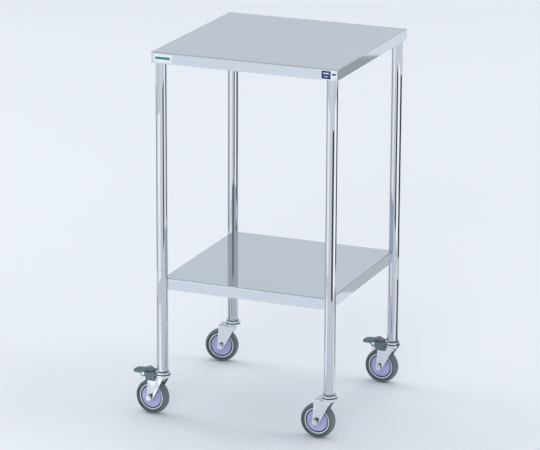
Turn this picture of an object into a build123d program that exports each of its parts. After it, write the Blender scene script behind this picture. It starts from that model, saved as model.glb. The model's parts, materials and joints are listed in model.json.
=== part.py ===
from build123d import *
import math
import os

os.makedirs("parts", exist_ok=True)

# A square stainless work table on four swivel casters, in millimetres.
# The origin is on the floor under the centre of the top. +X runs along the front,
# +Y to the rear and +Z up.

# Driving dimensions of the table
TOP_SIZE = 440.0
TOP_HEIGHT = 850.0
SHEET = 1.2
BEND_RADIUS = 2.2
CORNER_RADIUS = 1.6
TOP_FLANGE = 25.0
TOP_HEM = 12.0
LEG_RADIUS = 12.7
LEG_WALL = 1.2
LEG_OFFSET = 203.0
LEG_BOTTOM = 109.5
SHELF_SIZE = 404.0
SHELF_HEIGHT = 325.4
SHELF_FLANGE = 26.5
SHELF_HEM = 10.0
HEM_END_GAP = 20.0

# Hidden pieces of the table
PLATE_THICKNESS = 2.0
PLATE_SIZE = 54.0
PLATE_CORNER_CUT = 22.0
HAT_WIDTH = 30.0
HAT_BRIM = 12.0
HAT_DEPTH = 12.0
TOP_HAT_LENGTH = 370.0
TOP_HAT_OFFSET = 72.0
SHELF_HAT_LENGTH = 396.0
INSERT_LENGTH = 30.0
INSERT_LIP = 1.0
FIT_GAP = 0.03

# Plain labels on the front flange: centre along X, width and height
LABEL_THICKNESS = 0.2
LABEL_CORNER = 1.5
LABEL_Z = TOP_HEIGHT - TOP_FLANGE / 2 - 0.6
LABELS = {"label_left": (-191.0, 44.0, 18.6), "label_right": (200.5, 36.0, 20.4)}

# Driving dimensions of a caster. Its own frame has the swivel axis on Z, and the wheel
# trails towards -X. Side outlines are (trail distance, height) pairs.
WHEEL_RADIUS = 40.0
TRAIL = 26.5
TYRE_HALF = 11.5
HUB_RADIUS = 29.0
HUB_HALF = 7.4
HUB_FACE_RADIUS = 26.3
GROOVE_WIDTH = 1.4
GROOVE_FLOOR = 4.2
BOSS_RADIUS = 10.0
BOSS_HALF = 12.8
BUSH_RADIUS = 6.5
BUSH_HALF = 13.1
AXLE_RADIUS = 4.0
RUNNING_GAP = 0.05
AXLE_END = 22.6
AXLE_HEX = 13.0
AXLE_HEX_HEIGHT = 5.2
WASHER_HEIGHT = 1.0

FORK_HALF = 15.2
FORK_SHEET = 2.0
FORK_TIP_RADIUS = 8.0
FORK_FRONT = 8.5
FORK_FRONT_RISE = 4.5
CROWN_TOP = 92.0
CROWN_REAR = 31.0
CROWN_HALF = 16.2
CROWN_CORNER = 2.5
NECK_RADIUS = 19.5
NECK_FOOT_RADIUS = 14.5
NECK_FOOT_Z = 56.0
RACE_TOP = 97.6
RACE_LIP_BOTTOM = 95.2
RACE_FLOOR = 94.4
RACE_INNER = 14.3
RACE_OUTER = 16.5

CAP_RADIUS = 17.0
CAP_BOTTOM = 99.3
CAP_TOP = 103.8
CAP_BOSS_RADIUS = 8.6
CAP_BOSS_BOTTOM = 95.0
NUT_WIDTH = 26.0
NUT_BOTTOM = 105.0
NUT_COLLAR_RADIUS = 9.0
STEM_RADIUS = 6.0
STEM_TOP = 148.0
KINGPIN_GAP = 0.35
RIVET_RADIUS = 9.5
RIVET_BOTTOM = 86.2
RIVET_TOP = 89.0
BALL_RADIUS = 2.35
BALL_PITCH_RADIUS = 11.5
BALL_GAP = 0.1
BALL_COUNT = 12

# Driving dimensions of the total-lock brake
PIN_S = 41.5
PIN_Z = 96.5
PIN_RADIUS = 3.0
PIN_HALF = 18.6
PIN_HEAD = 1.2
COVER_HALF = 18.0
COVER_REAR_WALL = 1.8
COVER_TOP = 100.3
COVER_FRONT = 11.0
COVER_REAR = 35.0
COVER_SKIRT_BOTTOM = 82.4
COVER_REAR_BOTTOM = 88.0
COVER_NECK_RADIUS = 20.2
SNAP_HOLE_RADIUS = 1.6
SNAP_HOLE_PLACE = (21.0, 86.0)
EAR_RADIUS = 6.8
EAR_THICKNESS = 4.0
PEDAL_HUB_RADIUS = 6.0
PEDAL_HUB_HALF = 13.6
PEDAL_TIP_HALF = 10.0
PEDAL_TIP_S = 74.0
HOOD_HALF = 10.0
SHOE_RADIUS = WHEEL_RADIUS + 2.0
SHOE_THICKNESS = 2.6
SHOE_HALF = 9.0
SHOE_POST_HALF = 6.0
SHOE_POST_FRONT = 31.3
SHOE_POST_REAR = 32.7

# Where each caster stands: the leg's signs along X and Y, and the swivel angle in degrees
CASTERS = {
    "front_left": (-1, -1, -6.6),
    "front_right": (1, -1, -2.8),
    "rear_left": (-1, 1, 7.8),
    "rear_right": (1, 1, -4.9),
}
BRAKED = ("front_left", "rear_right")


def save(name, shape):
    """Write one node."""
    export_step(shape, f"parts/{name}.step")


def disc(radius, bottom, top, x=0.0, y=0.0):
    """A round solid on a vertical axis, between two heights."""
    return Pos(x, y, (bottom + top) / 2) * Cylinder(radius, top - bottom)


def block(x_low, x_high, y_low, y_high, z_low, z_high):
    """A box between two corners."""
    size = (x_high - x_low, y_high - y_low, z_high - z_low)
    centre = ((x_high + x_low) / 2, (y_high + y_low) / 2, (z_high + z_low) / 2)
    return Pos(*centre) * Box(*size)


def hexagon(width, bottom, top):
    """A hexagonal prism measured across its flats."""
    flat = RegularPolygon(width / 2, 6, major_radius=False)
    return Pos(0, 0, bottom) * extrude(flat, amount=top - bottom)


def at_corners(shape_of_corner):
    """One solid at each leg, as a group. The function takes the signs along X and Y."""
    return Compound(children=[shape_of_corner(sx, sy) for sx, sy, _ in CASTERS.values()])


def leg_place(sx, sy):
    return Pos(sx * LEG_OFFSET, sy * LEG_OFFSET, 0)


# ---------------------------------------------------------------- sheet pans

def folded_pan(size, top, flange, hem):
    """A flat sheet with all four edges folded down, and a hem folded inward under each flange."""
    outer = Pos(0, 0, top - flange / 2) * Box(size, size, flange)
    outer = fillet(outer.edges().filter_by(Axis.Z), CORNER_RADIUS)
    outer = fillet(outer.edges().group_by(Axis.Z)[-1], BEND_RADIUS)
    inside = size - 2 * SHEET
    cavity = Pos(0, 0, top - SHEET - flange / 2) * Box(inside, inside, flange)
    cavity = fillet(cavity.edges().group_by(Axis.Z)[-1], BEND_RADIUS - SHEET)
    pan = outer - cavity
    hem_length = 2 * (LEG_OFFSET - HEM_END_GAP)
    hem_z = top - flange
    for turn in range(4):
        strip = block(-hem_length / 2, hem_length / 2, -inside / 2 - SHEET / 2,
                      hem - inside / 2, hem_z, hem_z + SHEET)
        ends = strip.edges().filter_by(Axis.Z).group_by(Axis.Y)[-1]
        strip = chamfer(ends, hem * 0.8)
        pan += Rot(0, 0, 90 * turn) * strip
    return pan


def hat_channel(length, top):
    """A hat-section stiffener along X, with its brims against a sheet's underside."""
    half = HAT_WIDTH / 2
    outline = [
        (-half - HAT_BRIM, 0), (-half + SHEET, 0), (-half + SHEET, SHEET - HAT_DEPTH),
        (half - SHEET, SHEET - HAT_DEPTH), (half - SHEET, 0), (half + HAT_BRIM, 0),
        (half + HAT_BRIM, -SHEET), (half, -SHEET), (half, -HAT_DEPTH),
        (-half, -HAT_DEPTH), (-half, -SHEET), (-half - HAT_BRIM, -SHEET),
    ]
    section = make_face(Polyline(*outline, close=True))
    return Pos(-length / 2, 0, top) * extrude(Plane.YZ * section, amount=length)


def make_top():
    save("top_panel", folded_pan(TOP_SIZE, TOP_HEIGHT, TOP_FLANGE, TOP_HEM))
    under = TOP_HEIGHT - SHEET
    hats = [Pos(0, side * TOP_HAT_OFFSET, 0) * hat_channel(TOP_HAT_LENGTH, under) for side in (-1, 1)]
    save("top_stiffeners", Compound(children=hats))

    def corner_plate(sx, sy):
        outer = TOP_SIZE / 2 - SHEET - BEND_RADIUS
        inner = outer - PLATE_SIZE
        plate = block(inner, outer, inner, outer, under - PLATE_THICKNESS, under)
        plate = chamfer(plate.edges().filter_by(Axis.Z).sort_by(SortBy.DISTANCE)[0], PLATE_CORNER_CUT)
        quarter = math.degrees(math.atan2(sy, sx)) - 45
        return Rot(0, 0, quarter) * plate

    save("leg_corner_plates", at_corners(corner_plate))


def make_shelf():
    """The shelf is notched round at its corners, so that it meets the legs."""
    shelf = folded_pan(SHELF_SIZE, SHELF_HEIGHT, SHELF_FLANGE, SHELF_HEM)
    for sx, sy, _ in CASTERS.values():
        shelf -= leg_place(sx, sy) * disc(LEG_RADIUS + FIT_GAP, 0, TOP_HEIGHT)
    save("lower_shelf", shelf)
    save("shelf_stiffener", hat_channel(SHELF_HAT_LENGTH, SHELF_HEIGHT - SHEET))


def make_labels():
    for name, (x, width, height) in LABELS.items():
        face = Plane.XZ * RectangleRounded(width, height, LABEL_CORNER)
        save(name, Pos(x, -TOP_SIZE / 2, LABEL_Z) * extrude(face, amount=LABEL_THICKNESS))


# ---------------------------------------------------------------- legs

def make_legs():
    leg_top = TOP_HEIGHT - SHEET - PLATE_THICKNESS
    tube = disc(LEG_RADIUS, LEG_BOTTOM, leg_top) - disc(LEG_RADIUS - LEG_WALL, 0, TOP_HEIGHT)
    for corner, (sx, sy, _) in CASTERS.items():
        save(f"leg_{corner}", leg_place(sx, sy) * tube)

    insert = disc(LEG_RADIUS - LEG_WALL - FIT_GAP, LEG_BOTTOM, LEG_BOTTOM + INSERT_LENGTH)
    insert += disc(LEG_RADIUS, LEG_BOTTOM - INSERT_LIP, LEG_BOTTOM)
    insert -= disc(STEM_RADIUS + FIT_GAP, 0, TOP_HEIGHT)
    save("leg_inserts", at_corners(lambda sx, sy: leg_place(sx, sy) * insert))


# ---------------------------------------------------------------- caster heads, fixed to the legs

def make_caster_heads():
    stem = disc(STEM_RADIUS, RIVET_BOTTOM, STEM_TOP)
    stem = chamfer(stem.edges().group_by(Axis.Z)[-1], 1.2)
    rivet = disc(RIVET_RADIUS, RIVET_BOTTOM, RIVET_TOP)
    rivet = fillet(rivet.edges().group_by(Axis.Z)[0], 1.5)
    stem += rivet
    save("caster_stems", at_corners(lambda sx, sy: leg_place(sx, sy) * stem))

    nut = hexagon(NUT_WIDTH, NUT_BOTTOM, LEG_BOTTOM - INSERT_LIP)
    nut += disc(NUT_COLLAR_RADIUS, CAP_TOP, NUT_BOTTOM)
    nut -= disc(STEM_RADIUS + FIT_GAP, 0, TOP_HEIGHT)
    save("stem_nuts", at_corners(lambda sx, sy: leg_place(sx, sy) * nut))

    cap = disc(CAP_RADIUS, CAP_BOTTOM, CAP_TOP)
    cap = fillet(cap.edges().group_by(Axis.Z)[-1], 2.0)
    cap += disc(CAP_BOSS_RADIUS, CAP_BOSS_BOTTOM, CAP_BOTTOM)
    cap -= disc(STEM_RADIUS + FIT_GAP, 0, TOP_HEIGHT)
    save("swivel_caps", at_corners(lambda sx, sy: leg_place(sx, sy) * cap))


# ---------------------------------------------------------------- caster pieces

def side_slab(face, half_low, half_high):
    """A face drawn as (-trail, height), made solid between two distances across the caster."""
    plane = Plane(origin=(0, half_high, 0), x_dir=(1, 0, 0), z_dir=(0, -1, 0))
    return extrude(plane * face, amount=half_high - half_low)


def side_polygon(outline):
    return make_face(Polyline(*[(-s, z) for s, z in outline], close=True))


def across(radius, low, high, s, z):
    """A round solid on an axis across the caster, between two distances."""
    return side_slab(Pos(-s, z) * Circle(radius), low, high)


def fork_outline():
    """A side plate seen from the side: a round tip at the axle, widening up to the crown."""
    tip = Pos(-TRAIL, WHEEL_RADIUS) * CenterArc((0, 0), FORK_TIP_RADIUS, 0, 360)
    front_top = FORK_FRONT + 1.5
    crown_line = Line((-CROWN_REAR, CROWN_TOP), (front_top, CROWN_TOP))
    front_line = Line((front_top, CROWN_TOP), (FORK_FRONT, CROWN_TOP - FORK_FRONT_RISE))
    return make_hull([tip.edge(), crown_line.edge(), front_line.edge()])


def fork():
    """The pressed fork: two plates flared round the neck, under a crown plate and a ball race."""
    outline = fork_outline()
    crown_bottom = CROWN_TOP - FORK_SHEET
    neck_height = CROWN_TOP - NECK_FOOT_Z
    neck_middle = (CROWN_TOP + NECK_FOOT_Z) / 2
    neck = Pos(0, 0, neck_middle) * Cone(NECK_FOOT_RADIUS, NECK_RADIUS, neck_height)
    neck_inside = Pos(0, 0, neck_middle - FORK_SHEET) * Cone(
        NECK_FOOT_RADIUS - FORK_SHEET, NECK_RADIUS - FORK_SHEET, neck_height)
    rear_half = block(-100, 0, -100, 100, 0, 100)
    plates = side_slab(outline, -FORK_HALF, FORK_HALF) & rear_half
    shell = plates + (side_slab(outline, -NECK_RADIUS, NECK_RADIUS) & neck)
    inside = FORK_HALF - FORK_SHEET
    shell -= block(-100, 100, -inside, inside, 0, crown_bottom)
    shell -= neck_inside
    crown = block(-CROWN_REAR, 0, -CROWN_HALF, CROWN_HALF, crown_bottom, CROWN_TOP)
    crown = fillet(crown.edges().filter_by(Axis.Z).group_by(Axis.X)[0], CROWN_CORNER)
    race = disc(NECK_RADIUS, RACE_LIP_BOTTOM, RACE_TOP)
    race = fillet(race.edges().group_by(Axis.Z)[-1], 1.0)
    shell += crown
    shell += disc(RACE_OUTER, crown_bottom, RACE_LIP_BOTTOM)
    shell += race
    shell -= disc(RACE_INNER, RACE_FLOOR, CAP_TOP)
    shell -= disc(STEM_RADIUS + KINGPIN_GAP, 0, CAP_TOP)
    return shell - across(AXLE_RADIUS + RUNNING_GAP, -100, 100, TRAIL, WHEEL_RADIUS)


def swivel_balls():
    place = Pos(BALL_PITCH_RADIUS, 0, RACE_FLOOR + BALL_RADIUS + BALL_GAP)
    turns = [Rot(0, 0, 360 * step / BALL_COUNT) for step in range(BALL_COUNT)]
    return [turn * place * Sphere(BALL_RADIUS) for turn in turns]


def wheel_place(shape):
    """Turn a piece made round Z onto the axle, with +Z towards the caster's front side."""
    return Pos(-TRAIL, 0, WHEEL_RADIUS) * Rot(90, 0, 0) * shape


def turned(outline):
    """A closed (radius, height) outline turned round Z."""
    face = make_face(Polyline(*outline, close=True))
    return revolve(Plane.XZ * face, axis=Axis.Z)


def tyre():
    """A rubber tread with a stepped shoulder, moulded over the hub's rib."""
    side = [(HUB_RADIUS, HUB_HALF - 0.4), (30.0, 8.6), (33.2, 10.4), (33.7, 10.1)]
    shoulder = [(34.2, TYRE_HALF), (36.6, 10.9), (38.4, 9.2), (39.5, 6.2)]
    crown = [(WHEEL_RADIUS, 2.6)]
    half = [(HUB_RADIUS, 3.0)] + side + shoulder + crown
    rib = [(HUB_RADIUS + 2.0, 2.6)]
    mirrored = [(r, -z) for r, z in reversed(rib + half)]
    return turned(rib + half + mirrored)


def hub():
    """A moulded hub: a rim lip, a ring groove, a dished face and a boss."""
    groove_outer = HUB_FACE_RADIUS + GROOVE_WIDTH
    rim = [
        (HUB_RADIUS + 2.0 - FIT_GAP, 2.5), (HUB_RADIUS - FIT_GAP, 2.9),
        (HUB_RADIUS - FIT_GAP, HUB_HALF - 0.5), (HUB_RADIUS - 0.5, HUB_HALF),
        (groove_outer + 0.1, HUB_HALF), (groove_outer, GROOVE_FLOOR),
    ]
    face = [
        (HUB_FACE_RADIUS, GROOVE_FLOOR), (HUB_FACE_RADIUS - 0.1, HUB_HALF - 0.7),
        (HUB_FACE_RADIUS - 0.7, HUB_HALF - 0.2), (HUB_FACE_RADIUS - 2.2, HUB_HALF - 0.4),
        (HUB_FACE_RADIUS - 3.4, HUB_HALF - 1.8), (BOSS_RADIUS + 2.0, HUB_HALF - 2.0),
    ]
    boss = [(BOSS_RADIUS, BOSS_HALF), (BUSH_RADIUS + FIT_GAP, BOSS_HALF)]
    side = rim + face + boss
    return turned(side + [(r, -z) for r, z in reversed(side)])


def bush():
    return Cylinder(BUSH_RADIUS, 2 * BUSH_HALF) - Cylinder(AXLE_RADIUS + RUNNING_GAP, 3 * BUSH_HALF)


def axle():
    """A bolt with its head on the far side and its thread's end at the front."""
    shank_length = FORK_HALF + AXLE_END
    shank = Pos(0, 0, (AXLE_END - FORK_HALF) / 2) * Cylinder(AXLE_RADIUS, shank_length)
    shank = chamfer(shank.edges().group_by(Axis.Z)[-1], 0.8)
    head = hexagon(AXLE_HEX, -FORK_HALF - AXLE_HEX_HEIGHT, -FORK_HALF)
    return shank + head


def axle_nut():
    """A flanged nut on the front side."""
    nut = hexagon(AXLE_HEX, FORK_HALF + WASHER_HEIGHT, FORK_HALF + AXLE_HEX_HEIGHT)
    nut &= Pos(0, 0, FORK_HALF) * Cone(AXLE_HEX * 0.62, AXLE_HEX * 0.5, 2 * AXLE_HEX_HEIGHT)
    nut += disc(AXLE_HEX * 0.56, FORK_HALF, FORK_HALF + WASHER_HEIGHT)
    return nut - disc(AXLE_RADIUS + FIT_GAP, 0, 2 * AXLE_END)


# ---------------------------------------------------------------- brake pieces

def brake_cover():
    """The plastic housing: it clips over the fork's rear corner and carries the pedal's pin."""
    outline = [
        (COVER_FRONT, COVER_SKIRT_BOTTOM), (COVER_REAR - 1.5, COVER_SKIRT_BOTTOM),
        (COVER_REAR, COVER_SKIRT_BOTTOM + 2.0), (COVER_REAR, COVER_TOP - 3.0),
        (COVER_REAR - 3.0, COVER_TOP), (COVER_FRONT, COVER_TOP),
    ]
    cover = side_slab(side_polygon(outline), -COVER_HALF, COVER_HALF)
    ear_profile = side_polygon([(COVER_REAR - 6, COVER_TOP - 1), (COVER_REAR - 6, PIN_Z - EAR_RADIUS),
                                (PIN_S, PIN_Z - EAR_RADIUS), (PIN_S, PIN_Z + EAR_RADIUS * 0.75)])
    for side in (-1, 1):
        low, high = sorted((side * COVER_HALF, side * (COVER_HALF - EAR_THICKNESS)))
        cover += across(EAR_RADIUS, low, high, PIN_S, PIN_Z)
        cover += side_slab(ear_profile, low, high)
    fork_gap = 0.15
    fork_half = CROWN_HALF + fork_gap
    rear_wall = COVER_REAR - COVER_REAR_WALL
    cover -= block(-rear_wall, 0, -fork_half, fork_half, 0, CROWN_TOP + fork_gap)
    cover -= block(-100, 0, -fork_half, fork_half, 0, COVER_REAR_BOTTOM)
    cover -= disc(COVER_NECK_RADIUS, 0, TOP_HEIGHT)
    post_gap = 0.3
    slot_half = SHOE_POST_HALF + post_gap
    cover -= block(-SHOE_POST_REAR - post_gap, -SHOE_POST_FRONT + post_gap, -slot_half, slot_half,
                   0, COVER_TOP - 1.6)
    cover -= across(PIN_RADIUS + FIT_GAP, -100, 100, PIN_S, PIN_Z)
    for side in (-1, 1):
        low, high = sorted((side * COVER_HALF * 2, side * CROWN_HALF))
        cover -= across(SNAP_HOLE_RADIUS, low, high, *SNAP_HOLE_PLACE)
    return cover


def pedal_pin():
    pin = Cylinder(PIN_RADIUS, 2 * PIN_HALF)
    for side in (-1, 1):
        head = Pos(0, 0, side * (PIN_HALF + PIN_HEAD / 2 - 0.6)) * Cylinder(PIN_RADIUS + 0.9, PIN_HEAD)
        pin += head
    return Pos(-PIN_S, 0, PIN_Z) * Rot(90, 0, 0) * pin


def brake_pedal():
    """A rocking pedal: the toe end locks, the hump over the cover releases, the nose is a cam."""
    hood_bottom = COVER_TOP + 0.5
    hood = [(22.5, hood_bottom), (23.5, hood_bottom + 1.8), (33.5, 106.2), (43.0, 106.4)]
    toe = [(47.0, 102.6), (71.5, 100.0), (PEDAL_TIP_S, 98.0), (73.0, 93.0), (49.5, 94.5)]
    cam = [(48.6, 90.6), (47.4, 87.8), (45.0, 87.6), (41.5, PIN_Z - PEDAL_HUB_RADIUS)]
    root = [(PIN_S, PIN_Z), (38.5, hood_bottom)]
    pedal = side_slab(side_polygon(hood + toe + cam + root), -PEDAL_HUB_HALF, PEDAL_HUB_HALF)
    pedal += across(PEDAL_HUB_RADIUS, -PEDAL_HUB_HALF, PEDAL_HUB_HALF, PIN_S, PIN_Z)
    pedal = pedal & pedal_plan()
    upper = pedal.edges().filter_by(Axis.Y).group_by(Axis.Z)[-1]
    pedal = fillet(upper, 1.5)
    return pedal - across(PIN_RADIUS + RUNNING_GAP, -100, 100, PIN_S, PIN_Z)


def pedal_plan():
    """The pedal seen from above: narrow over the cover, wide at the pin, tapered to a round toe."""
    toe_corner = 5.0
    plan = [
        (20.0, HOOD_HALF), (33.0, HOOD_HALF), (35.4, PEDAL_HUB_HALF), (48.0, PEDAL_HUB_HALF),
        (PEDAL_TIP_S - toe_corner, PEDAL_TIP_HALF + 0.8), (PEDAL_TIP_S - 1.2, PEDAL_TIP_HALF - 2.0),
        (PEDAL_TIP_S, PEDAL_TIP_HALF - toe_corner),
    ]
    outline = [(-s, y) for s, y in plan] + [(-s, -y) for s, y in reversed(plan)]
    return Pos(0, 0, 80) * extrude(make_face(Polyline(*outline, close=True)), amount=40)


def brake_shoe():
    """The steel shoe over the tread, with a guide post and the block that the cam presses."""
    ring = across(SHOE_RADIUS + SHOE_THICKNESS, -SHOE_HALF, SHOE_HALF, TRAIL, WHEEL_RADIUS)
    ring -= across(SHOE_RADIUS, -100, 100, TRAIL, WHEEL_RADIUS)
    shoe = ring & block(-48.0, -TRAIL, -SHOE_HALF, SHOE_HALF, WHEEL_RADIUS, CROWN_TOP)
    follower = side_polygon([(41.0, 81.4), (47.6, 78.4), (49.4, 79.0), (49.0, 87.0), (43.0, 87.0)])
    shoe += side_slab(follower, -SHOE_HALF + 1, SHOE_HALF - 1)
    shoe += block(-SHOE_POST_REAR, -SHOE_POST_FRONT, -SHOE_POST_HALF, SHOE_POST_HALF, 83.0, 96.5)
    return shoe


def make_casters():
    brake_pieces = {
        "brake_cover": brake_cover(),
        "pedal_pin": pedal_pin(),
        "brake_pedal": brake_pedal(),
        "brake_shoe": brake_shoe(),
    }
    pieces = {
        "fork": fork(),
        "axle": wheel_place(axle()),
        "axle_nut": wheel_place(axle_nut()),
        "tyre": wheel_place(tyre()),
        "wheel_hub": wheel_place(hub()),
        "wheel_bush": wheel_place(bush()),
    }
    for corner, (sx, sy, yaw) in CASTERS.items():
        place = leg_place(sx, sy) * Rot(0, 0, yaw)
        for name, shape in pieces.items():
            save(f"{name}_{corner}", place * shape)
        save(f"swivel_balls_{corner}", Compound(children=[place * ball for ball in swivel_balls()]))
        if corner in BRAKED:
            for name, shape in brake_pieces.items():
                save(f"{name}_{corner}", place * shape)


make_top()
make_shelf()
make_labels()
make_legs()
make_caster_heads()
make_casters()
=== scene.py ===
"""Looks of a square stainless work table on casters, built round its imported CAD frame.

The frame is the CAD's: +X along the front, +Y to the rear, +Z up, and the origin on the floor
under the centre of the top. A caster's own frame has its swivel axis on Z and its wheel trailing
towards -X, and -Y is its front side. The sizes of the table's pieces are written in millimetres
and turned to metres by MM, and the stage's are written in metres.
"""

import json
import math

import bmesh
import bpy
from mathutils import Matrix, Vector


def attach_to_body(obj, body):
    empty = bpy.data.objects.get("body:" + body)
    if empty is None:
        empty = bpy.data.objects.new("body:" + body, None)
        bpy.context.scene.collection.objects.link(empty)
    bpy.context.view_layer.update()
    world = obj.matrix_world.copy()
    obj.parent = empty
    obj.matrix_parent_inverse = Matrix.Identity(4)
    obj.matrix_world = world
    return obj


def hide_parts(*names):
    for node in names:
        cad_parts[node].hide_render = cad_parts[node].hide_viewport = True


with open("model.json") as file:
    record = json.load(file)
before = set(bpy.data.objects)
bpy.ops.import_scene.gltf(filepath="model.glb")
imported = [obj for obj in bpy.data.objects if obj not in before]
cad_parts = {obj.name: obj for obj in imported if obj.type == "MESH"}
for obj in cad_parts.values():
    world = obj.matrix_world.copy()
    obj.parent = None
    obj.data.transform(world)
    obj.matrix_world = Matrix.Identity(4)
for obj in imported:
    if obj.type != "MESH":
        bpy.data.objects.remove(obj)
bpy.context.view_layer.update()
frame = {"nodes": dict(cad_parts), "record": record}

MM = 0.001

# Each leg's signs along X and Y, and its caster's swivel angle in degrees, as in the CAD
CASTERS = {
    "front_left": (-1, -1, -6.6),
    "front_right": (1, -1, -2.8),
    "rear_left": (-1, 1, 7.8),
    "rear_right": (1, 1, -4.9),
}
BRAKED = ("front_left", "rear_right")
LEG_OFFSET = 203.0
LEG_RADIUS = 12.7
TRAIL = 26.5
WHEEL_RADIUS = 40.0


# ---------------------------------------------------------------- camera

CAMERA_PLACE = Vector((2.556, -6.285, 2.415))
CAMERA_YAW = math.radians(22.324)
CAMERA_PITCH = math.radians(16.401)
CAMERA_ROLL = math.radians(0.262)
CAMERA_LENS = 207.1
SENSOR_WIDTH = 36.0


def view_direction():
    """Where the camera looks."""
    flat = math.cos(CAMERA_PITCH)
    return Vector((-math.sin(CAMERA_YAW) * flat, math.cos(CAMERA_YAW) * flat, -math.sin(CAMERA_PITCH)))


def make_camera():
    """The scene's camera, level across the table but for a slight roll."""
    forward = view_direction()
    level = forward.cross(Vector((0, 0, 1))).normalized()
    upright = level.cross(forward)
    right = level * math.cos(CAMERA_ROLL) + upright * math.sin(CAMERA_ROLL)
    up = upright * math.cos(CAMERA_ROLL) - level * math.sin(CAMERA_ROLL)
    data = bpy.data.cameras.new("camera")
    data.lens = CAMERA_LENS
    data.sensor_fit = "HORIZONTAL"
    data.sensor_width = SENSOR_WIDTH
    data.clip_end = 200.0
    camera = bpy.data.objects.new("camera", data)
    bpy.context.scene.collection.objects.link(camera)
    turn = Matrix((right, up, -forward)).transposed()
    camera.matrix_world = Matrix.Translation(CAMERA_PLACE) @ turn.to_4x4()
    bpy.context.scene.camera = camera


# ---------------------------------------------------------------- node helpers

def new_material(name):
    """A material with its Principled shader."""
    material = bpy.data.materials.new(name)
    material.use_nodes = True
    tree = material.node_tree
    return material, tree, tree.nodes["Principled BSDF"]


def add_node(tree, kind, values=None, **links):
    """Add a node. Values are set by input or attribute name, and keywords link sockets."""
    node = tree.nodes.new(kind)
    for key, value in (values or {}).items():
        if key in node.inputs:
            node.inputs[key].default_value = value
        else:
            setattr(node, key, value)
    for key, socket in links.items():
        tree.links.new(socket, node.inputs[key.replace("_", " ")])
    return node


def calculate(tree, operation, first, second):
    """A Math node. Each side is a socket or a number."""
    node = add_node(tree, "ShaderNodeMath", {"operation": operation})
    for index, side in enumerate((first, second)):
        if isinstance(side, (int, float)):
            node.inputs[index].default_value = side
        else:
            tree.links.new(side, node.inputs[index])
    return node.outputs[0]


def stretched_noise(tree, stretch, detail):
    """Noise in the object's own coordinates, with its own frequency along X, Y and Z."""
    place = add_node(tree, "ShaderNodeTexCoord")
    mapping = add_node(tree, "ShaderNodeMapping", {"Scale": stretch}, Vector=place.outputs["Object"])
    noise = add_node(tree, "ShaderNodeTexNoise", {"Scale": 1.0, "Detail": detail},
                     Vector=mapping.outputs["Vector"])
    return noise.outputs["Fac"]


# Most of a noise texture's values lie between these two
NOISE_LOW = 0.3
NOISE_HIGH = 0.7


def spread(tree, value, low, high, start=NOISE_LOW, end=NOISE_HIGH):
    """Stretch a noise value from start..end to low..high."""
    ramp = add_node(tree, "ShaderNodeMapRange",
                    {"From Min": start, "From Max": end, "To Min": low, "To Max": high}, Value=value)
    return ramp.outputs["Result"]


def tint(tree, value, low, high):
    """Mix two colours by a noise value."""
    ramp = add_node(tree, "ShaderNodeValToRGB", None, Fac=value)
    stops = zip(ramp.color_ramp.elements, (NOISE_LOW, NOISE_HIGH), (low, high))
    for element, position, colour in stops:
        element.position = position
        element.color = (*colour, 1.0)
    return ramp.outputs["Color"]


def shade(colour, factor):
    """A lighter or darker colour."""
    return tuple(min(1.0, channel * factor) for channel in colour)


def bump(tree, shader, height, strength, distance):
    """Drive a shader's bump by a height."""
    node = add_node(tree, "ShaderNodeBump", {"Strength": strength, "Distance": distance}, Height=height)
    tree.links.new(node.outputs["Normal"], shader.inputs["Normal"])


# ---------------------------------------------------------------- materials

# Frequencies are in waves per metre, and depths in metres. A range gives the noise values at which
# a mark starts and is full. Shades and roughnesses are factors of a material's own values.
SHEET_CLOUDS = 3.0
STEEL_SHADES = (0.975, 1.02)
STEEL_ROUGHNESS = (0.75, 1.3)
STEEL_GRAIN_DEPTH = 0.0002
SCUFFS_PER_METRE = 70.0
SCUFF_RANGE = (0.56, 0.72)
MOULDED_SHADES = (0.9, 1.1)
MOULDED_ROUGHNESS = (0.85, 1.15)
MOULDED_GRAIN_DEPTH = 0.0001
MOTTLES_PER_METRE = 60.0
DUST_PER_METRE = 260.0
DUST_RANGE = (0.52, 0.75)
DUST_COVER = 0.35


def steel(name, colour, roughness, grain, grain_strength, clouds_per_metre=SHEET_CLOUDS, scuffs=0.0):
    """Stainless or plated steel: a fine grain, broad faint clouds in its polish, and light scuffs.

    grain gives the grain's frequency along X, Y and Z, so it can run one way.
    """
    material, tree, shader = new_material(name)
    shader.inputs["Metallic"].default_value = 1.0
    lines = stretched_noise(tree, grain, 2.0)
    clouds = stretched_noise(tree, (clouds_per_metre,) * 3, 4.0)
    colours = tint(tree, clouds, *(shade(colour, factor) for factor in STEEL_SHADES))
    tree.links.new(colours, shader.inputs["Base Color"])
    mixed = calculate(tree, "MULTIPLY", calculate(tree, "ADD", lines, clouds), 0.5)
    rough = spread(tree, mixed, *(roughness * factor for factor in STEEL_ROUGHNESS))
    if scuffs:
        marks = stretched_noise(tree, (SCUFFS_PER_METRE,) * 3, 6.0)
        rough = calculate(tree, "ADD", rough, spread(tree, marks, 0.0, scuffs, *SCUFF_RANGE))
    tree.links.new(rough, shader.inputs["Roughness"])
    bump(tree, shader, lines, grain_strength, STEEL_GRAIN_DEPTH)
    return material


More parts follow.
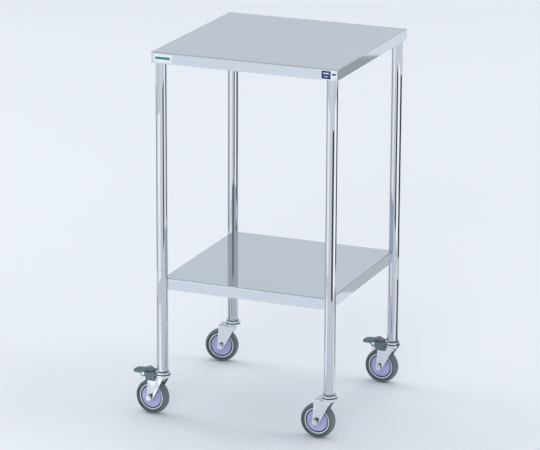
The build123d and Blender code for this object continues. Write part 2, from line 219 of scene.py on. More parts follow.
def moulded(name, colour, roughness, grain_scale, grain_strength, dust=None):
    """Moulded plastic or rubber: a fine eggshell grain, uneven colour and gloss, and faint dust."""
    material, tree, shader = new_material(name)
    fine = stretched_noise(tree, (grain_scale,) * 3, 2.0)
    broad = stretched_noise(tree, (MOTTLES_PER_METRE,) * 3, 3.0)
    colours = tint(tree, broad, *(shade(colour, factor) for factor in MOULDED_SHADES))
    if dust:
        specks = stretched_noise(tree, (DUST_PER_METRE,) * 3, 5.0)
        cover = spread(tree, specks, 0.0, DUST_COVER, *DUST_RANGE)
        mix = add_node(tree, "ShaderNodeMix", {"data_type": "RGBA"})
        tree.links.new(cover, mix.inputs["Factor"])
        tree.links.new(colours, mix.inputs["A"])
        mix.inputs["B"].default_value = (*dust, 1.0)
        colours = mix.outputs["Result"]
    tree.links.new(colours, shader.inputs["Base Color"])
    rough = spread(tree, broad, *(roughness * factor for factor in MOULDED_ROUGHNESS))
    tree.links.new(rough, shader.inputs["Roughness"])
    bump(tree, shader, fine, grain_strength, MOULDED_GRAIN_DEPTH)
    return material


SHEET_COLOUR = (0.72, 0.765, 0.82)
TUBE_COLOUR = (0.62, 0.63, 0.665)
ZINC_COLOUR = (0.84, 0.88, 0.92)
WELD_COLOUR = (0.62, 0.62, 0.64)
# Dark zinc, painted as shade on the forks' insides and the axle nuts' sides
PAINTED_SHADE_ZINC_COLOUR = (0.10, 0.12, 0.13)
# A darker teal zinc, painted as shade on the stem nuts
NUT_SHADE_COLOUR = (0.42, 0.52, 0.55)
TYRE_COLOUR = (0.125, 0.165, 0.18)
TYRE_DUST = (0.30, 0.32, 0.33)
# Near black, painted as shade in grooves, gaps, holes and on a shaded edge
PAINTED_SHADE_BLACK_COLOUR = (0.012, 0.016, 0.02)
HUB_COLOUR = (0.47, 0.455, 0.74)
# Near white, a painted highlight on the hub's rim lip
RIM_HIGHLIGHT_COLOUR = (0.94, 0.94, 0.97)
BRAKE_COLOUR = (0.125, 0.175, 0.205)
BRAKE_DUST = (0.22, 0.27, 0.30)
WHITE_FILM_COLOUR = (0.86, 0.9, 0.9)
BLUE_INK_COLOUR = (0.015, 0.035, 0.17)
TEAL_INK_COLOUR = (0.02, 0.24, 0.25)

SHEET_GRAIN = (6.0, 900.0, 900.0)
TUBE_GRAIN = (900.0, 900.0, 5.0)
HIDDEN_GRAIN = (8.0, 500.0, 500.0)
PLATED_GRAIN = (300.0, 300.0, 300.0)
WELD_GRAIN = (600.0, 600.0, 600.0)

# The record's slots
MATERIALS = {
    "stainless_sheet": steel("stainless_sheet", SHEET_COLOUR, 0.05, SHEET_GRAIN, 0.01),
    "stainless_tube": steel("stainless_tube", TUBE_COLOUR, 0.03, TUBE_GRAIN, 0.01),
    "stainless_hidden": steel("stainless_hidden", shade(SHEET_COLOUR, 0.9), 0.3, HIDDEN_GRAIN, 0.1),
    "zinc_steel": steel("zinc_steel", ZINC_COLOUR, 0.2, PLATED_GRAIN, 0.05, 40.0, 0.12),
    "tyre_rubber": moulded("tyre_rubber", TYRE_COLOUR, 0.5, 2500.0, 0.15, TYRE_DUST),
    "hub_plastic": moulded("hub_plastic", HUB_COLOUR, 0.3, 1500.0, 0.05),
    "brake_plastic": moulded("brake_plastic", BRAKE_COLOUR, 0.38, 2500.0, 0.25, BRAKE_DUST),
    "label_white": moulded("label_white", WHITE_FILM_COLOUR, 0.35, 800.0, 0.02),
    "label_blue": moulded("label_blue", BLUE_INK_COLOUR, 0.3, 800.0, 0.02),
}

# Materials for the finer pieces and for chosen faces. The near-black one and both dark zincs are painted
# shade, and the near-white rim is a painted highlight.
WELD = steel("weld_metal", WELD_COLOUR, 0.28, WELD_GRAIN, 0.1, 150.0, 0.1)
TEAL = moulded("teal_ink", TEAL_INK_COLOUR, 0.35, 800.0, 0.02)
# Near-black painted shade for the wheels' grooves, the brake cover's edge facing the leg, its snap holes and
# the gaps round the caster heads
PAINTED_SHADE_BLACK = moulded("painted_shade_black", PAINTED_SHADE_BLACK_COLOUR, 0.7, 2500.0, 0.1)
# The hub's rim lip, near white as a painted highlight
RIM_HIGHLIGHT_PLASTIC = moulded("rim_highlight_plastic", RIM_HIGHLIGHT_COLOUR, 0.35, 1500.0, 0.05)
# Dark zinc painted as shade on the forks' insides and round the axle nuts' sides
PAINTED_SHADE_ZINC = steel("painted_shade_zinc", PAINTED_SHADE_ZINC_COLOUR, 0.4, PLATED_GRAIN, 0.1, 60.0, 0.1)
# The stem nuts' darker zinc, painted as shade
NUT_SHADE_ZINC = steel("nut_shade_zinc", NUT_SHADE_COLOUR, 0.25, PLATED_GRAIN, 0.08, 60.0, 0.1)


def record_slots():
    """The record's material slot for each CAD node."""
    return {part["node"]: part["material_slot"] for part in frame["record"]["subparts"]}


def node_bodies():
    """Which body each CAD node rides on."""
    bodies = frame["record"]["behaviour"]["bodies"]
    return {node: body for body, nodes in bodies.items() for node in nodes}


SLOTS = record_slots()
BODIES = node_bodies()


def dress_cad_nodes():
    """Give every CAD node the material of its slot."""
    for name, node in frame["nodes"].items():
        node.data.materials.clear()
        node.data.materials.append(MATERIALS[SLOTS[name]])


# ---------------------------------------------------------------- mesh helpers

def caster_frame(corner):
    """The caster's own frame: its swivel axis on Z, and its wheel towards -X."""
    sign_x, sign_y, yaw = CASTERS[corner]
    place = Matrix.Translation((sign_x * LEG_OFFSET * MM, sign_y * LEG_OFFSET * MM, 0))
    return place @ Matrix.Rotation(math.radians(yaw), 4, "Z")


def wheel_frame(corner):
    """The axle is this frame's Z axis, and +Z points to the caster's front side."""
    place = Matrix.Translation((-TRAIL * MM, 0, WHEEL_RADIUS * MM))
    return caster_frame(corner) @ place @ Matrix.Rotation(math.radians(90), 4, "X")


def finish_mesh(name, bm, materials, smooth=True):
    """Turn a bmesh into a linked object."""
    bmesh.ops.recalc_face_normals(bm, faces=bm.faces)
    mesh = bpy.data.meshes.new(name)
    bm.to_mesh(mesh)
    bm.free()
    for polygon in mesh.polygons:
        polygon.use_smooth = smooth
    for material in materials:
        mesh.materials.append(material)
    piece = bpy.data.objects.new(name, mesh)
    bpy.context.scene.collection.objects.link(piece)
    return piece


def round_edges(piece, width, angle):
    """Round the edges that are sharper than an angle in degrees, by a width in millimetres."""
    bevel = piece.modifiers.new("rounded", "BEVEL")
    bevel.width = width * MM
    bevel.segments = 2
    bevel.limit_method = "ANGLE"
    bevel.angle_limit = math.radians(angle)
    bevel.harden_normals = True
    bevel.miter_outer = "MITER_ARC"
    return piece


def circle_point(radius, angle, height):
    return Vector((radius * math.cos(angle), radius * math.sin(angle), height))


def full_turn(segments):
    """Angles in equal steps round a circle."""
    return [2 * math.pi * step / segments for step in range(segments)]


def add_capped_tube(bm, rings):
    """Join equal rings of points with quads, and close both ends."""
    grid = [[bm.verts.new(point) for point in ring] for ring in rings]
    count = len(rings[0])
    for low, high in zip(grid, grid[1:]):
        for index in range(count):
            after = (index + 1) % count
            bm.faces.new((low[index], low[after], high[after], high[index]))
    bm.faces.new(grid[0])
    bm.faces.new(grid[-1])


def lathe(name, outline, place, materials, segments, marks=None):
    """A closed (radius, height) outline in millimetres, turned round the place's Z axis.

    marks gives the material index of an outline edge by the index of its first point.
    """
    bm = bmesh.new()
    columns = []
    for angle in full_turn(segments):
        columns.append([bm.verts.new(place @ (circle_point(r, angle, z) * MM)) for r, z in outline])
    marks = marks or {}
    count = len(outline)
    for here, there in zip(columns, columns[1:] + columns[:1]):
        for index in range(count):
            after = (index + 1) % count
            face = bm.faces.new((here[index], there[index], there[after], here[after]))
            face.material_index = marks.get(index, 0)
    return finish_mesh(name, bm, materials)


def attach(piece, body):
    """A piece that adds detail rides on a body."""
    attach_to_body(piece, body)


def stands_for(piece, node):
    """A detailed piece takes a CAD node's place and body, and the node is hidden."""
    attach(piece, BODIES[node])
    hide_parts(node)
    return piece


MERGE_DISTANCE = 1e-6
FLAT_ANGLE = math.radians(1.0)


def softened(node, width, angle=30.0, second=None, chosen=None, place=None):
    """A copy of a CAD node with its sharp edges rounded, as pressed and moulded parts have them.

    chosen(centre, normal) picks the faces that take the second material, with both vectors given
    in the place's own frame, the centre in millimetres.
    """
    bm = bmesh.new()
    bm.from_mesh(frame["nodes"][node].data)
    bmesh.ops.remove_doubles(bm, verts=bm.verts, dist=MERGE_DISTANCE)
    bmesh.ops.dissolve_limit(bm, angle_limit=FLAT_ANGLE, verts=bm.verts, edges=bm.edges)
    materials = [MATERIALS[SLOTS[node]]]
    # The second material paints shade on the chosen faces
    if second:
        materials.append(second)
        inward = place.inverted()
        for face in bm.faces:
            centre = (inward @ face.calc_center_median()) / MM
            face.material_index = int(chosen(centre, inward.to_3x3() @ face.normal))
    piece = finish_mesh(f"{node}_formed", bm, materials)
    return stands_for(round_edges(piece, width, angle), node)


# ---------------------------------------------------------------- wheels

# Bands of a wheel's side by their inner and outer radius
HUB_GROOVE = (25.0, 27.7)
RIM_LIP = (27.65, 30.2)
TYRE_GROOVE = (33.0, 34.2)
WHEEL_SEGMENTS = 128


def mirrored(half):
    """A half outline above the wheel's middle plane, with its mirror image below."""
    return half + [(r, -z) for r, z in reversed(half)]


def edges_between(outline, radii):
    """The outline's edges that lie between two radii, by the index of their first point."""
    inner, outer = radii
    after = outline[1:] + outline[:1]
    return [index for index, ends in enumerate(zip(outline, after))
            if all(inner <= r <= outer for r, _ in ends)]


def tyre_outline():
    """The tread is slightly crowned with a mould line, and the shoulder has a narrow groove."""
    groove_inner, groove_outer = TYRE_GROOVE
    inside = [(31.0, 2.6), (30.25, 2.9), (30.25, 7.2)]
    wall = [(30.6, 8.2), (31.1, 9.0), (31.8, 9.6), (32.5, 10.0), (groove_inner, 10.1)]
    groove = [(groove_inner + 0.2, 9.3), (groove_outer - 0.3, 9.3), (groove_outer, 11.0)]
    shoulder = [(34.5, 11.35), (34.9, 11.45), (36.0, 11.2), (37.2, 10.5), (38.3, 9.2), (39.1, 7.4)]
    tread = [(39.6, 5.0), (39.85, 2.4), (39.9, 0.35), (40.0, 0.12)]
    return mirrored(inside + wall + groove + shoulder + tread)


def hub_outline():
    """A rim lip that is coloured near white as a painted highlight, a groove that is coloured near black as
    painted shade, a raised ring, a softly dished face, and the boss.
    """
    groove_inner, groove_outer = HUB_GROOVE
    lip_inner, lip_outer = RIM_LIP
    rim = [(30.95, 2.5), (lip_outer, 2.85), (lip_outer, 7.0)]
    lip = [(29.8, 7.4), (28.1, 7.4), (lip_inner + 0.05, 7.1)]
    groove = [(groove_outer, 4.4), (groove_outer - 0.3, 4.2), (groove_inner + 0.3, 4.2), (groove_inner, 4.4)]
    edge = [(24.95, 6.8), (24.7, 7.1), (24.3, 7.1), (23.7, 6.8), (23.1, 6.0)]
    face = [(22.4, 5.65), (18.0, 5.45), (14.2, 5.4), (12.6, 5.7), (11.4, 6.9), (10.6, 9.0), (10.1, 12.2)]
    boss = [(9.8, 12.7), (9.4, 12.8), (6.6, 12.8)]
    return mirrored(rim + lip + groove + edge + face + boss)


def make_wheels():
    """Each wheel's rubber tyre and plastic hub, with the grooves of both painted near black as shade and the
    hub's rim lip painted near white as a highlight.
    """
    tyre_materials = [MATERIALS["tyre_rubber"], PAINTED_SHADE_BLACK]
    tyre_marks = dict.fromkeys(edges_between(tyre_outline(), TYRE_GROOVE), 1)
    hub_materials = [MATERIALS["hub_plastic"], PAINTED_SHADE_BLACK, RIM_HIGHLIGHT_PLASTIC]
    hub_marks = dict.fromkeys(edges_between(hub_outline(), RIM_LIP), 2)
    hub_marks.update(dict.fromkeys(edges_between(hub_outline(), HUB_GROOVE), 1))
    kinds = {
        "tyre": (tyre_outline(), tyre_materials, tyre_marks),
        "wheel_hub": (hub_outline(), hub_materials, hub_marks),
    }
    for corner in CASTERS:
        for kind, (outline, materials, marks) in kinds.items():
            node = f"{kind}_{corner}"
            place = wheel_frame(corner)
            stands_for(lathe(f"{node}_moulded", outline, place, materials, WHEEL_SEGMENTS, marks), node)


# ---------------------------------------------------------------- axle bolts

# Heights are along the wheel frame's Z axis
AXLE_RADIUS = 4.0
AXLE_SEGMENTS = 48
HEAD_LOW = -20.4
HEAD_HIGH = -15.2
HEAD_CHAMFER = 0.7
HEAD_HALF_FLATS = 6.5
HEAD_CORNER = 7.5
THREAD_START = 12.0
AXLE_END = 22.6
THREAD_PITCH = 1.25
THREAD_DEPTH = 0.55
THREAD_RINGS_PER_PITCH = 6
END_CHAMFER = 1.0
END_CHAMFER_SLOPE = 0.48


def hexagonal(inset):
    """The radius of a hexagon whose corners are turned down, by its angle."""
    def radius(angle, _):
        sector = (angle + math.pi / 6) % (math.pi / 3) - math.pi / 6
        return min(HEAD_HALF_FLATS / math.cos(sector), HEAD_CORNER - inset)
    return radius


def plain_shank(*_):
    return AXLE_RADIUS


def threaded(angle, height):
    """The radius of a V thread with a chamfered end, by its angle and height."""
    phase = (height / THREAD_PITCH - angle / (2 * math.pi)) % 1.0
    chamfer = max(0.0, height - (AXLE_END - END_CHAMFER)) * END_CHAMFER_SLOPE
    return AXLE_RADIUS - THREAD_DEPTH * abs(2 * phase - 1) - chamfer


def make_axle(corner):
    """A hexagon bolt: a chamfered head at the back, a plain shank, and a cut thread at the front."""
    stations = [
        (HEAD_LOW, hexagonal(1.2)),
        (HEAD_LOW + HEAD_CHAMFER, hexagonal(0.1)),
        (HEAD_HIGH, hexagonal(0.0)),
        (HEAD_HIGH, plain_shank),
        (THREAD_START, plain_shank),
    ]
    length = AXLE_END - THREAD_START
    steps = round(length / THREAD_PITCH * THREAD_RINGS_PER_PITCH)
    stations += [(THREAD_START + length * step / steps, threaded) for step in range(1, steps + 1)]
    place = wheel_frame(corner)
    rings = []
    for height, radius in stations:
        rings.append([place @ (circle_point(radius(angle, height), angle, height) * MM)
                      for angle in full_turn(AXLE_SEGMENTS)])
    bm = bmesh.new()
    add_capped_tube(bm, rings)
    piece = finish_mesh(f"axle_{corner}_threaded", bm, [MATERIALS["zinc_steel"]], False)
    stands_for(piece, f"axle_{corner}")


# ---------------------------------------------------------------- brakes

# The pedal's toe from its heel side to its tip: the distance from the swivel axis, and the height
TOE_START = (47.0, 102.6)
TOE_TIP = (71.5, 100.0)
RIDGES = (54.5, 58.5, 62.5, 66.5)
RIDGE_RADIUS = 0.7
RIDGE_SINK = 0.1
RIDGE_SEGMENTS = 10
RIDGE_HALF_LENGTH = 9.06
RIDGE_NARROWING = 0.12
# How far along its dome each ring of a ridge's end lies, from the tip inwards
DOME_STATIONS = (0.0, 0.35, 0.7, 0.92, 1.0)
DOME_TIP = 0.05


def add_ridge(bm, place, length):
    """A bar along the place's Y axis with domed ends."""
    rings = []
    for end, stations in ((-1, DOME_STATIONS), (1, DOME_STATIONS[::-1])):
        for station in stations:
            size = RIDGE_RADIUS * max(DOME_TIP, math.sqrt(max(0.0, 1 - (1 - station) ** 2)))
            y = end * (length / 2 - RIDGE_RADIUS * station)
            rings.append([place @ (Vector((size * math.cos(angle), y, size * math.sin(angle))) * MM)
                          for angle in full_turn(RIDGE_SEGMENTS)])
    add_capped_tube(bm, rings)


def make_pedal(corner):
    """The pedal with rounded edges, and grip ridges across its toe."""
    node = f"brake_pedal_{corner}"
    softened(node, 1.1, 25.0)
    start, start_height = TOE_START
    tip, tip_height = TOE_TIP
    slope = (start_height - tip_height) / (tip - start)
    bm = bmesh.new()
    for s in RIDGES:
        height = start_height - (s - start) * slope
        half = RIDGE_HALF_LENGTH - (s - RIDGES[0]) * RIDGE_NARROWING
        place = caster_frame(corner) @ Matrix.Translation(Vector((-s, 0, height - RIDGE_SINK)) * MM)
        add_ridge(bm, place, 2 * half)
    ridges = finish_mesh(f"pedal_ridges_{corner}", bm, [MATERIALS["brake_plastic"]])
    attach(ridges, BODIES[node])


# The brake cover's snap hole: the distance from the swivel axis, and the height
SNAP_HOLE = (21.0, 86.0)
# A near-black disc painted as shade in each snap hole
SNAP_HOLE_SHADE = [(0.3, 16.4), (1.45, 16.4), (1.45, 17.1), (1.2, 17.35), (0.3, 17.4)]
SNAP_HOLE_SHADE_SEGMENTS = 24


def make_snap_hole_shades(corner):
    """Near-black discs that fill the brake cover's two snap holes as painted shade."""
    node = f"brake_cover_{corner}"
    distance, height = SNAP_HOLE
    middle = caster_frame(corner) @ Matrix.Translation(Vector((-distance, 0, height)) * MM)
    for side, name in ((1, "front"), (-1, "back")):
        place = middle @ Matrix.Rotation(math.radians(90 * side), 4, "X")
        hole_shade = lathe(f"snap_hole_shade_{corner}_{name}", SNAP_HOLE_SHADE, place, [PAINTED_SHADE_BLACK], SNAP_HOLE_SHADE_SEGMENTS)
        attach(hole_shade, BODIES[node])


FORK_INNER_HALF = 13.6
CROWN_UNDERSIDE = 90.5
COVER_FRONT_START = -20.0
# How much of a face's normal lies along an axis: at least for facing it, and at most for a side
FACING = 0.7
SIDEWAYS = 0.5


def inside_fork(centre, _):
    """The fork's faces between its plates, below the crown, which take painted shade."""
    return abs(centre.y) < FORK_INNER_HALF and centre.z < CROWN_UNDERSIDE


def nut_side(_, normal):
    """The faces round a nut whose axis is the wheel frame's Z, which take painted shade."""
    return abs(normal.z) < SIDEWAYS


def cover_front(centre, normal):
    """The brake cover's edge that faces the leg, which takes painted shade."""
    return normal.x > FACING and centre.x > COVER_FRONT_START


def make_forks_and_brakes():
    """Each caster's fork, nut and bolt, and the brake of the casters that have one."""
    for corner in CASTERS:
        caster = caster_frame(corner)
        # Dark zinc painted as shade on the fork's insides and round the axle nut's sides
        softened(f"fork_{corner}", 0.5, 30.0, PAINTED_SHADE_ZINC, inside_fork, caster)
        softened(f"axle_nut_{corner}", 0.35, 30.0, PAINTED_SHADE_ZINC, nut_side, wheel_frame(corner))
        make_axle(corner)
        if corner in BRAKED:
            # Near black painted as shade on the brake cover's edge that faces the leg
            softened(f"brake_cover_{corner}", 0.8, 25.0, PAINTED_SHADE_BLACK, cover_front, caster)
            softened(f"pedal_pin_{corner}", 0.4)
            softened(f"brake_shoe_{corner}", 0.4)
            make_pedal(corner)
            make_snap_hole_shades(corner)


# ---------------------------------------------------------------- caster heads

# Near-black rings painted as shade in the gap under the nut and the gap over the fork's race: inner and
# outer radius, then bottom and top
GAP_SHADES = {"nut_gap_shade": (8.95, 11.6, 103.85, 104.95), "race_gap_shade": (8.7, 16.0, 97.8, 99.25)}
GAP_SHADE_CHAMFER = 0.4
GAP_SHADE_SEGMENTS = 64


def make_heads():
    """The swivel caps, the nuts under the legs in a darker zinc painted as shade, and near-black rings
    painted as shade in the gaps round each head.
    """
    softened("swivel_caps", 0.3)
    nuts = softened("stem_nuts", 0.4)
    # The stem nuts take a darker zinc painted as shade
    nuts.data.materials.clear()
    nuts.data.materials.append(NUT_SHADE_ZINC)
    for corner in CASTERS:
        for name, (inner, outer, bottom, top) in GAP_SHADES.items():
            flat = outer - GAP_SHADE_CHAMFER
            outline = [(inner, bottom), (flat, bottom), (outer, bottom + GAP_SHADE_CHAMFER),
                       (outer, top - GAP_SHADE_CHAMFER), (flat, top), (inner, top)]
            place = caster_frame(corner)
            gap_shade = lathe(f"{name}_{corner}", outline, place, [PAINTED_SHADE_BLACK], GAP_SHADE_SEGMENTS)
            attach(gap_shade, BODIES["swivel_caps"])


# ---------------------------------------------------------------- welds

BEAD_SEGMENTS = 10
RIPPLE_DEPTH = 0.16
RIPPLE_PITCH = 1.1
BEAD_STEP = RIPPLE_PITCH / 4
# A bead's end starts at this part of its full size and grows by this much at each step
BEAD_END = 0.35
BEAD_GROWTH = 0.3
# A direction that no bead runs along, to turn its cross-section by
OFF_AXIS = Vector((0.3, 0.5, 0.81))

SHELF_TOP = 325.4
SHELF_BOTTOM = 298.9
SHELF_HALF = 202.0
PLATE_UNDERSIDE = 846.8
# A round bead's radius, its line's distance off the leg's surface, its line's depth under the
# sheet's face, and its steps
NOTCH_BEAD = (0.9, 0.2, 1.6, 24)
PLATE_BEAD = (1.3, 0.4, 0.2, 60)
# The bead in a corner notch runs over these angles round its leg
NOTCH_START = 185.0
NOTCH_SWEEP = 80.0
# An upright bead's radius, how far its line stands off the leg and sinks into the flange, and how
# far its ends stay from the shelf's lower edge and its top
EDGE_BEAD = 0.75
EDGE_STAND_OFF = 0.3
EDGE_SINK = 0.1
EDGE_FOOT = 1.5
EDGE_HEAD = 2.0


def finely_divided(points):
    """The same line of points, with more of them a bead's step apart."""
    fine = []
    for start, end in zip(points, points[1:]):
        steps = max(1, round((end - start).length / BEAD_STEP))
        fine += [start.lerp(end, step / steps) for step in range(steps)]
    return fine + [points[-1]]


def rippled_bead(bm, points, radius):
    """A weld bead along a line of points, with the ripples its steps leave."""
    fine = finely_divided(points)
    last = len(fine) - 1
    rings = []
    run = 0.0
    for index, point in enumerate(fine):
        along = (fine[min(last, index + 1)] - fine[max(0, index - 1)]).normalized()
        if index:
            run += (point - fine[index - 1]).length
        side = along.cross(OFF_AXIS).normalized()
        other = along.cross(side)
        ends = min(1.0, BEAD_END + min(index, last - index) * BEAD_GROWTH)
        ripple = 1 - RIPPLE_DEPTH + RIPPLE_DEPTH * math.cos(2 * math.pi * run / RIPPLE_PITCH)
        size = radius * ends * ripple
        rings.append([(point + (side * math.cos(angle) + other * math.sin(angle)) * size) * MM
                      for angle in full_turn(BEAD_SEGMENTS)])
    add_capped_tube(bm, rings)


def shelf_edge_bead(bm, leg, signs, across):
    """The upright bead where a shelf flange meets a leg, on the X side or, if across, the Y side."""
    meet = math.sqrt(LEG_RADIUS ** 2 - (SHELF_HALF - LEG_OFFSET) ** 2)
    along_flange = -meet - EDGE_STAND_OFF
    off_flange = SHELF_HALF - LEG_OFFSET - EDGE_SINK
    x, y = (off_flange, along_flange) if across else (along_flange, off_flange)
    foot = leg + Vector((signs[0] * x, signs[1] * y, 0))
    ends = (SHELF_BOTTOM + EDGE_FOOT, SHELF_TOP - EDGE_HEAD)
    rippled_bead(bm, [foot + Vector((0, 0, height)) for height in ends], EDGE_BEAD)


def notch_bead(bm, leg, signs):
    """The bead round a leg in the shelf's corner notch."""
    radius, off_leg, depth, steps = NOTCH_BEAD
    arc = []
    for step in range(steps + 1):
        angle = math.radians(NOTCH_START + NOTCH_SWEEP * step / steps)
        x, y, z = circle_point(LEG_RADIUS + off_leg, angle, SHELF_TOP - depth)
        arc.append(leg + Vector((signs[0] * x, signs[1] * y, z)))
    rippled_bead(bm, arc, radius)


def plate_bead(bm, leg):
    """The bead round a leg's top, under its corner plate."""
    radius, off_leg, depth, steps = PLATE_BEAD
    loop = []
    for step in range(steps + 1):
        angle = 2 * math.pi * step / steps
        loop.append(leg + circle_point(LEG_RADIUS + off_leg, angle, PLATE_UNDERSIDE - depth))
    rippled_bead(bm, loop, radius)


def make_welds():
    """Beads where the shelf meets each leg, and round each leg's top under the corner plates."""
    bm = bmesh.new()
    for sign_x, sign_y, _ in CASTERS.values():
        signs = (sign_x, sign_y)
        leg = Vector((sign_x * LEG_OFFSET, sign_y * LEG_OFFSET, 0))
        shelf_edge_bead(bm, leg, signs, False)
        shelf_edge_bead(bm, leg, signs, True)
        notch_bead(bm, leg, signs)
        plate_bead(bm, leg)
    attach(finish_mesh("weld_beads", bm, [WELD]), "table_frame")


# The stiffeners' brims: how far they lie from a stiffener's middle, how far the top's stiffeners lie
# from the table's, the height of their undersides, and how far their rows of marks reach along X
BRIM_OFFSET = 21.0
TOP_STIFFENER = 72.0
TOP_BRIM_UNDERSIDE = 847.6
TOP_SPOT_REACH = 160.0
SHELF_BRIM_UNDERSIDE = 323.0
SHELF_SPOT_REACH = 170.0
SPOTS_IN_ROW = 9
SPOT_SEGMENTS = 20
# A mark's radius and height from its buried edge, over its raised rim, to its sunk middle
SPOT_PROFILE = [(3.0, 0.1), (3.0, 0.0), (2.9, -0.12), (2.4, -0.14), (1.9, -0.06), (0.9, -0.05)]


def make_spot_welds():
    """Shallow round spot-weld marks along the stiffeners' brims."""
    rows = []
    for stiffener in (-TOP_STIFFENER, TOP_STIFFENER):
        for brim in (-BRIM_OFFSET, BRIM_OFFSET):
            rows.append((stiffener + brim, TOP_BRIM_UNDERSIDE, TOP_SPOT_REACH))
    for brim in (-BRIM_OFFSET, BRIM_OFFSET):
        rows.append((brim, SHELF_BRIM_UNDERSIDE, SHELF_SPOT_REACH))
    bm = bmesh.new()
    for y, z, reach in rows:
        for step in range(SPOTS_IN_ROW):
            centre = Vector((-reach + 2 * reach * step / (SPOTS_IN_ROW - 1), y, z))
            rings = []
            for radius, drop in SPOT_PROFILE:
                rings.append([(centre + circle_point(radius, angle, drop)) * MM
                              for angle in full_turn(SPOT_SEGMENTS)])
            add_capped_tube(bm, rings)
    attach(finish_mesh("spot_weld_marks", bm, [WELD]), "table_frame")


# ---------------------------------------------------------------- labels

# The front flange's face, and how far the films' and their inks' faces stand in front of it
FLANGE_FRONT = -220.0
FILM_FRONT = 0.14
INK_FRONT = 0.19
LINE_FRONT = 0.2
LABEL_Z = 836.9
CORNER_STEPS = 6
CORNERS = ((1, 1), (-1, 1), (-1, -1), (1, -1))

# Each film's centre, width, height and corner radius
LEFT_FILM = (-191.0, LABEL_Z, 44.0, 18.6, 1.5)
RIGHT_FILM = (200.5, LABEL_Z, 36.0, 20.4, 1.5)
LEFT_BAR = (-191.5, LABEL_Z + 0.4, 35.0, 5.6, 1.4)
RIGHT_PANEL = (194.6, LABEL_Z, 21.4, 17.8, 1.0)
RIGHT_CORNER = (212.8, LABEL_Z + 2.2, 9.0, 4.2, 0.6)
LINE_HIGH = (194.4, LABEL_Z + 3.4, 13.0, 2.6, 0.4)
LINE_LOW = (194.4, LABEL_Z - 3.8, 9.0, 1.4, 0.4)


def film(name, shape, back, front, material):
    """A thin film with round corners on the front flange, between two distances in front of it."""
    centre_x, centre_z, width, height, corner = shape
    outline = []
    for quarter, (side_x, side_z) in enumerate(CORNERS):
        for step in range(CORNER_STEPS + 1):
            angle = math.radians(90 * (quarter + step / CORNER_STEPS))
            outline.append((centre_x + side_x * (width / 2 - corner) + corner * math.cos(angle),
                            centre_z + side_z * (height / 2 - corner) + corner * math.sin(angle)))
    rings = [[Vector((x, FLANGE_FRONT - depth, z)) * MM for x, z in outline] for depth in (back, front)]
    bm = bmesh.new()
    add_capped_tube(bm, rings)
    return finish_mesh(name, bm, [material], False)


def make_labels():
    """Plain films: a white one with a teal bar, and a white-edged one with a blue panel."""
    blue, white = MATERIALS["label_blue"], MATERIALS["label_white"]
    stands_for(film("label_left_film", LEFT_FILM, 0.0, FILM_FRONT, white), "label_left")
    stands_for(film("label_right_film", RIGHT_FILM, 0.0, FILM_FRONT, white), "label_right")
    inks = {
        "label_left_bar": (LEFT_BAR, TEAL),
        "label_right_panel": (RIGHT_PANEL, blue),
        "label_right_corner": (RIGHT_CORNER, blue),
    }
    for name, (shape, material) in inks.items():
        attach(film(name, shape, FILM_FRONT, INK_FRONT, material), "table_frame")
    lines = {"label_right_line_high": LINE_HIGH, "label_right_line_low": LINE_LOW}
    for name, shape in lines.items():
        attach(film(name, shape, INK_FRONT, LINE_FRONT, white), "table_frame")


# ---------------------------------------------------------------- stage and light

FLOOR_COLOUR = (0.83, 0.85, 0.88)
FLOOR_REACH = 40.0

# Reflector panels stand or lie round the table, and only its polished surfaces show them. Each has
# its two ends in degrees anticlockwise from the camera's side, the distance and height of its near
# or low edge, the same for its far or high edge, and its light.
PANELS = {
    "flag_side": (88.0, 120.0, (1.3, 0.002), (1.3, 0.5), 0.02),
    "wall_rear_side": (120.0, 138.0, (1.3, 0.002), (1.3, 0.55), 0.42),
    "kerb_rear_side": (119.0, 138.0, (0.98, 0.002), (0.98, 0.25), 0.60),
    "flag_front_low": (14.0, 42.0, (1.3, 0.002), (1.3, 0.45), 0.08),
    "flag_front_core": (-8.0, 10.0, (1.3, 0.62), (1.3, 0.92), 0.03),
    "flag_front_soft": (-16.0, 18.0, (1.32, 0.62), (1.32, 0.93), 0.26),
    "softbox_left_low": (-52.0, -39.0, (1.3, 0.002), (1.3, 0.45), 1.65),
    "softbox_left_far": (-72.0, -60.0, (1.3, 0.002), (1.3, 0.45), 1.6),
    "flag_left": (-122.0, -104.0, (1.3, 0.002), (1.3, 0.5), 0.12),
    "softbox_right": (47.0, 82.0, (1.3, 0.002), (1.3, 0.5), 1.5),
    "strip_left": (-68.0, -40.0, (0.4, 0.003), (1.1, 0.003), 1.3),
    "strip_right": (58.0, 82.0, (0.4, 0.003), (1.1, 0.003), 1.15),
    "strip_side": (88.0, 116.0, (0.4, 0.003), (1.1, 0.003), 0.1),
    "strip_far_left": (-122.0, -104.0, (0.4, 0.003), (1.1, 0.003), 0.25),
}

# The sky's colour by the height of the direction: the sine of its elevation, then the colour
SKY = (
    (0.00, (0.60, 0.64, 0.69)),
    (0.36, (0.66, 0.70, 0.75)),
    (0.48, (0.34, 0.36, 0.39)),
    (0.72, (0.36, 0.38, 0.41)),
    (0.84, (0.56, 0.59, 0.63)),
    (1.00, (0.68, 0.71, 0.75)),
)
SKY_SCALE = 2.0


def stage_object(name, mesh, material):
    """An object that isn't part of the table."""
    piece = bpy.data.objects.new(name, mesh)
    bpy.context.scene.collection.objects.link(piece)
    mesh.materials.append(material)
    return piece


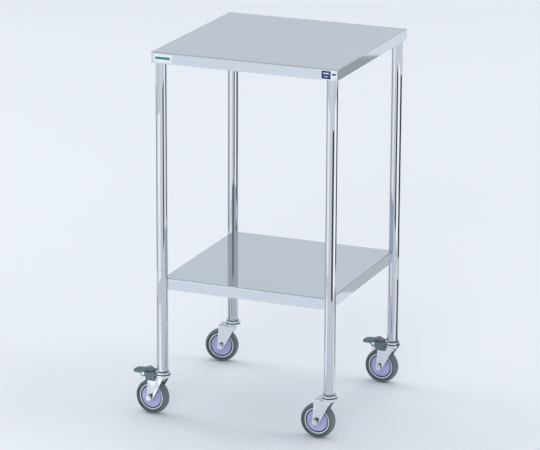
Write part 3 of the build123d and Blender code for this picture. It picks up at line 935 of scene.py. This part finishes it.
def make_floor():
    """A wide pale floor, a little uneven in tone."""
    material, tree, shader = new_material("floor_paper")
    shader.inputs["Roughness"].default_value = 0.9
    shader.inputs["Specular IOR Level"].default_value = 0.1
    soft = stretched_noise(tree, (0.6,) * 3, 1.0)
    colours = tint(tree, soft, shade(FLOOR_COLOUR, 0.99), shade(FLOOR_COLOUR, 1.01))
    tree.links.new(colours, shader.inputs["Base Color"])
    mesh = bpy.data.meshes.new("floor")
    corners = [(x * FLOOR_REACH, y * FLOOR_REACH, 0) for x, y in ((-1, -1), (1, -1), (1, 1), (-1, 1))]
    mesh.from_pydata(corners, [], [(0, 1, 2, 3)])
    stage_object("floor", mesh, material)


PANEL_COLOUR = (0.93, 0.97, 1.0, 1.0)
PANEL_STEP = math.radians(2.0)


def glow_material(name, level):
    """A material that only shines, with the same light all over."""
    material = bpy.data.materials.new(name)
    material.use_nodes = True
    tree = material.node_tree
    tree.nodes.clear()
    glow = add_node(tree, "ShaderNodeEmission", {"Color": PANEL_COLOUR, "Strength": level})
    output = tree.nodes.new("ShaderNodeOutputMaterial")
    tree.links.new(glow.outputs[0], output.inputs["Surface"])
    return material


def make_panels():
    """The reflector panels, curved round the table and unseen except in reflections."""
    camera_side = math.atan2(CAMERA_PLACE.y, CAMERA_PLACE.x)
    for name, (low, high, low_edge, high_edge, level) in PANELS.items():
        start = camera_side + math.radians(low)
        end = camera_side + math.radians(high)
        count = max(1, round((end - start) / PANEL_STEP))
        vertices = []
        for index in range(count + 1):
            angle = start + (end - start) * index / count
            vertices += [circle_point(distance, angle, height) for distance, height in (low_edge, high_edge)]
        faces = [(base, base + 2, base + 3, base + 1) for base in range(0, 2 * count, 2)]
        mesh = bpy.data.meshes.new(name)
        mesh.from_pydata(vertices, [], faces)
        panel = stage_object(name, mesh, glow_material(name, level))
        panel.visible_camera = False
        panel.visible_diffuse = False
        panel.visible_shadow = False
        panel.visible_transmission = False
        panel.visible_volume_scatter = False


def make_sky():
    """A sky that is grey at the horizon, darker above it, and bright overhead like a large softbox."""
    world = bpy.data.worlds.new("studio")
    world.use_nodes = True
    tree = world.node_tree
    background = tree.nodes["Background"]
    place = add_node(tree, "ShaderNodeTexCoord")
    split = add_node(tree, "ShaderNodeSeparateXYZ", None, Vector=place.outputs["Generated"])
    ramp = add_node(tree, "ShaderNodeValToRGB", None, Fac=split.outputs["Z"])
    elements = ramp.color_ramp.elements
    elements[0].position, elements[1].position = SKY[0][0], SKY[-1][0]
    for position, _ in SKY[1:-1]:
        elements.new(position)
    for element, (_, colour) in zip(elements, SKY):
        element.color = (*shade(colour, 1 / SKY_SCALE), 1.0)
    tree.links.new(ramp.outputs["Color"], background.inputs["Color"])
    background.inputs["Strength"].default_value = SKY_SCALE
    bpy.context.scene.world = world


SUN_POWER = 0.55
SUN_ANGLE = math.radians(55.0)
SUN_FROM = Vector((-0.12, 0.38, 1.0))
FILL_SIZE = 3.0
FILL_AIM = Vector((0.0, 0.0, 0.3))
FILLS = {
    "left_fill": ((-5.0, 1.0, 3.0), 80.0),
    "right_fill": ((4.5, 1.5, 3.0), 60.0),
    "front_fill": ((1.0, -5.5, 2.6), 85.0),
    "rear_fill": ((0.0, 5.0, 3.0), 25.0),
}


def add_lamp(name, kind, power, direction):
    """A lamp that shines along a direction, and that polished surfaces don't show."""
    data = bpy.data.lights.new(name, kind)
    data.energy = power
    lamp = bpy.data.objects.new(name, data)
    bpy.context.scene.collection.objects.link(lamp)
    lamp.rotation_euler = direction.to_track_quat("-Z", "Y").to_euler()
    lamp.visible_glossy = False
    return lamp


def make_lights():
    """A wide soft sun from above, and four large fill lamps round the table."""
    sun = add_lamp("soft_sun", "SUN", SUN_POWER, -SUN_FROM)
    sun.data.angle = SUN_ANGLE
    for name, (place, power) in FILLS.items():
        fill = add_lamp(name, "AREA", power, FILL_AIM - Vector(place))
        fill.data.size = FILL_SIZE
        fill.location = place
        fill.visible_camera = False
    bpy.context.scene.view_settings.view_transform = "Standard"


# ---------------------------------------------------------------- everything in order

make_camera()
make_floor()
make_panels()
make_sky()
make_lights()
dress_cad_nodes()
make_wheels()
make_forks_and_brakes()
make_heads()
make_welds()
make_spot_welds()
make_labels()
